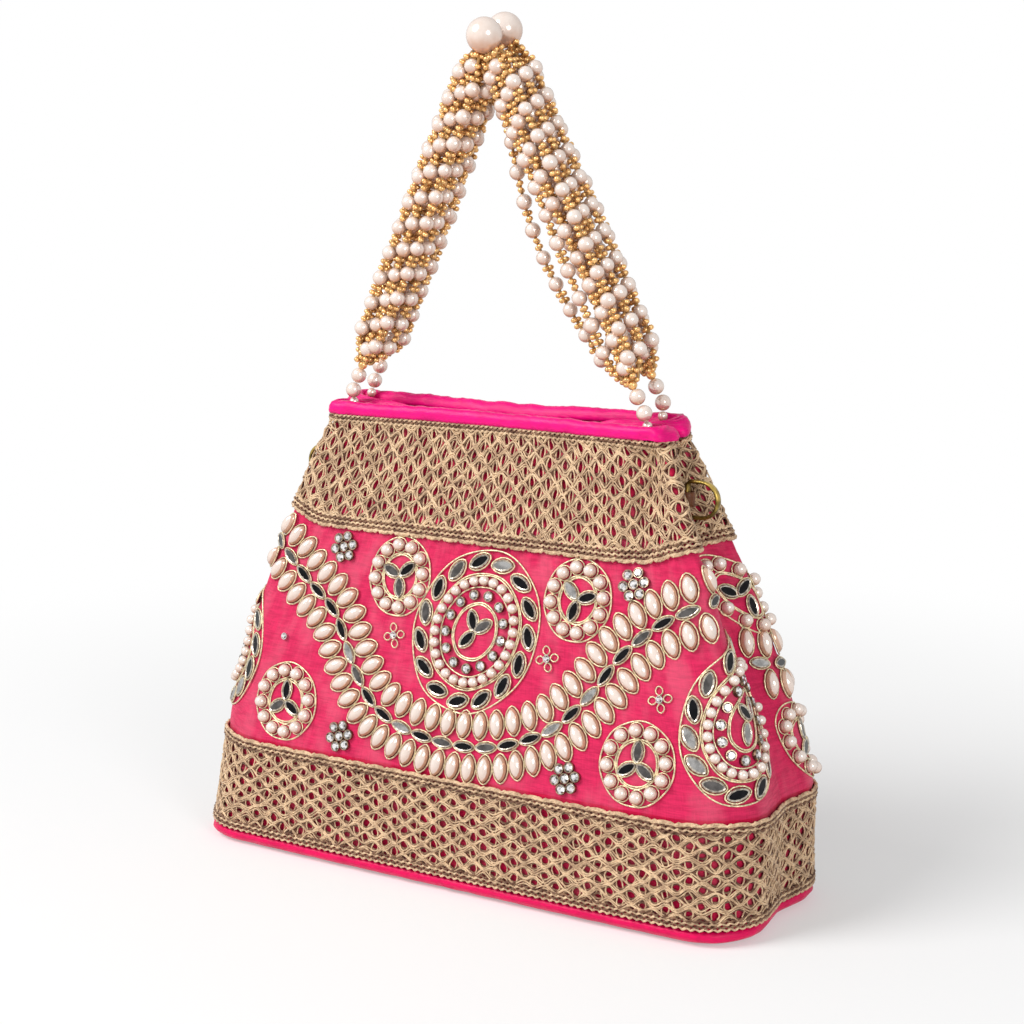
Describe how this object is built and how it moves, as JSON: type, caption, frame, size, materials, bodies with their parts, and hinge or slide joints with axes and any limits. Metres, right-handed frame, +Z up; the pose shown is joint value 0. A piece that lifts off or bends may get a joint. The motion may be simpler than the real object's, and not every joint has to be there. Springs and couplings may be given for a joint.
{
  "type": "potli handbag",
  "caption": "Small structured silk handbag with beaded motifs, two lace bands, side gussets and two pearl strand handles.",
  "frame": {"origin": "middle of the base where it rests, between the front and rear faces and on the line of the gusset creases", "axes": "+Z up, the front faces -Y, +X to the right seen from the front"},
  "size_m": [0.2162, 0.0777, 0.2831],
  "materials": {
    "silk": "slubbed raw silk",
    "lining": "plain woven",
    "board": "grey fibre board",
    "satin": "satin",
    "base_satin": "satin",
    "lace": "metallic champagne cord",
    "embroidery": "pearl beads, mirrors and gold wire",
    "stone": "faceted clear stones in dark cups",
    "pearl": "pearl lustre",
    "brass": "aged",
    "steel": "nickel"
  },
  "bodies": {
    "root": {"silk_body": "silk", "lining": "lining", "base_panel": "base_satin", "base_board": "board", "lower_lace": "lace", "upper_lace": "lace", "mouth_binding": "satin", "right_ring_tab": "satin", "left_ring_tab": "satin", "snap_socket": "steel", "snap_stud": "steel", "front_round_motif_left": "embroidery", "front_round_motif_right": "embroidery", "front_low_motif_left": "embroidery", "front_low_motif_right": "embroidery", "gusset_motif_left": "embroidery", "gusset_motif_right": "embroidery", "gusset_low_motif_left": "embroidery", "gusset_low_motif_right": "embroidery", "rear_round_motif_left": "embroidery", "rear_round_motif_right": "embroidery", "front_oval_motif": "embroidery", "rear_oval_motif": "embroidery", "corner_oval_motif_right": "embroidery", "corner_oval_motif_left": "embroidery", "stone_flower_upper_left": "stone", "stone_flower_upper_right": "stone", "stone_flower_lower_left": "stone", "stone_flower_lower_right": "stone", "front_garland": "embroidery", "rear_garland": "embroidery", "front_left_anchor_pearl": "pearl", "front_right_anchor_pearl": "pearl", "rear_left_anchor_pearl": "pearl", "rear_right_anchor_pearl": "pearl"},
    "front_handle": {"front_apex_pearl": "pearl", "front_left_end_pearls": "pearl", "front_right_end_pearls": "pearl", "front_left_strand_1": "pearl", "front_left_strand_2": "pearl", "front_left_strand_3": "pearl", "front_left_strand_4": "pearl", "front_right_strand_1": "pearl", "front_right_strand_2": "pearl", "front_right_strand_3": "pearl", "front_right_strand_4": "pearl"},
    "rear_handle": {"rear_apex_pearl": "pearl", "rear_left_end_pearls": "pearl", "rear_right_end_pearls": "pearl", "rear_left_strand_1": "pearl", "rear_left_strand_2": "pearl", "rear_left_strand_3": "pearl", "rear_left_strand_4": "pearl", "rear_right_strand_1": "pearl", "rear_right_strand_2": "pearl", "rear_right_strand_3": "pearl", "rear_right_strand_4": "pearl"},
    "right_ring": {"right_ring": "brass"},
    "left_ring": {"left_ring": "brass"}
  },
  "joints": [
    {"name": "front_handle_swing", "type": "hinge", "parent": "root", "child": "front_handle", "pos_m": [0, -0.0062, 0.1588], "axis": [1, 0, 0], "range_deg": [0, 100]},
    {"name": "rear_handle_swing", "type": "hinge", "parent": "root", "child": "rear_handle", "pos_m": [0, 0.0062, 0.1608], "axis": [-1, 0, 0], "range_deg": [0, 100]},
    {"name": "right_ring_swing", "type": "hinge", "parent": "root", "child": "right_ring", "pos_m": [0.0685, 0, 0.132], "axis": [0, 0, 1], "range_deg": [-12, 12]},
    {"name": "left_ring_swing", "type": "hinge", "parent": "root", "child": "left_ring", "pos_m": [-0.0685, 0, 0.132], "axis": [0, 0, 1], "range_deg": [-12, 12]}
  ]
}
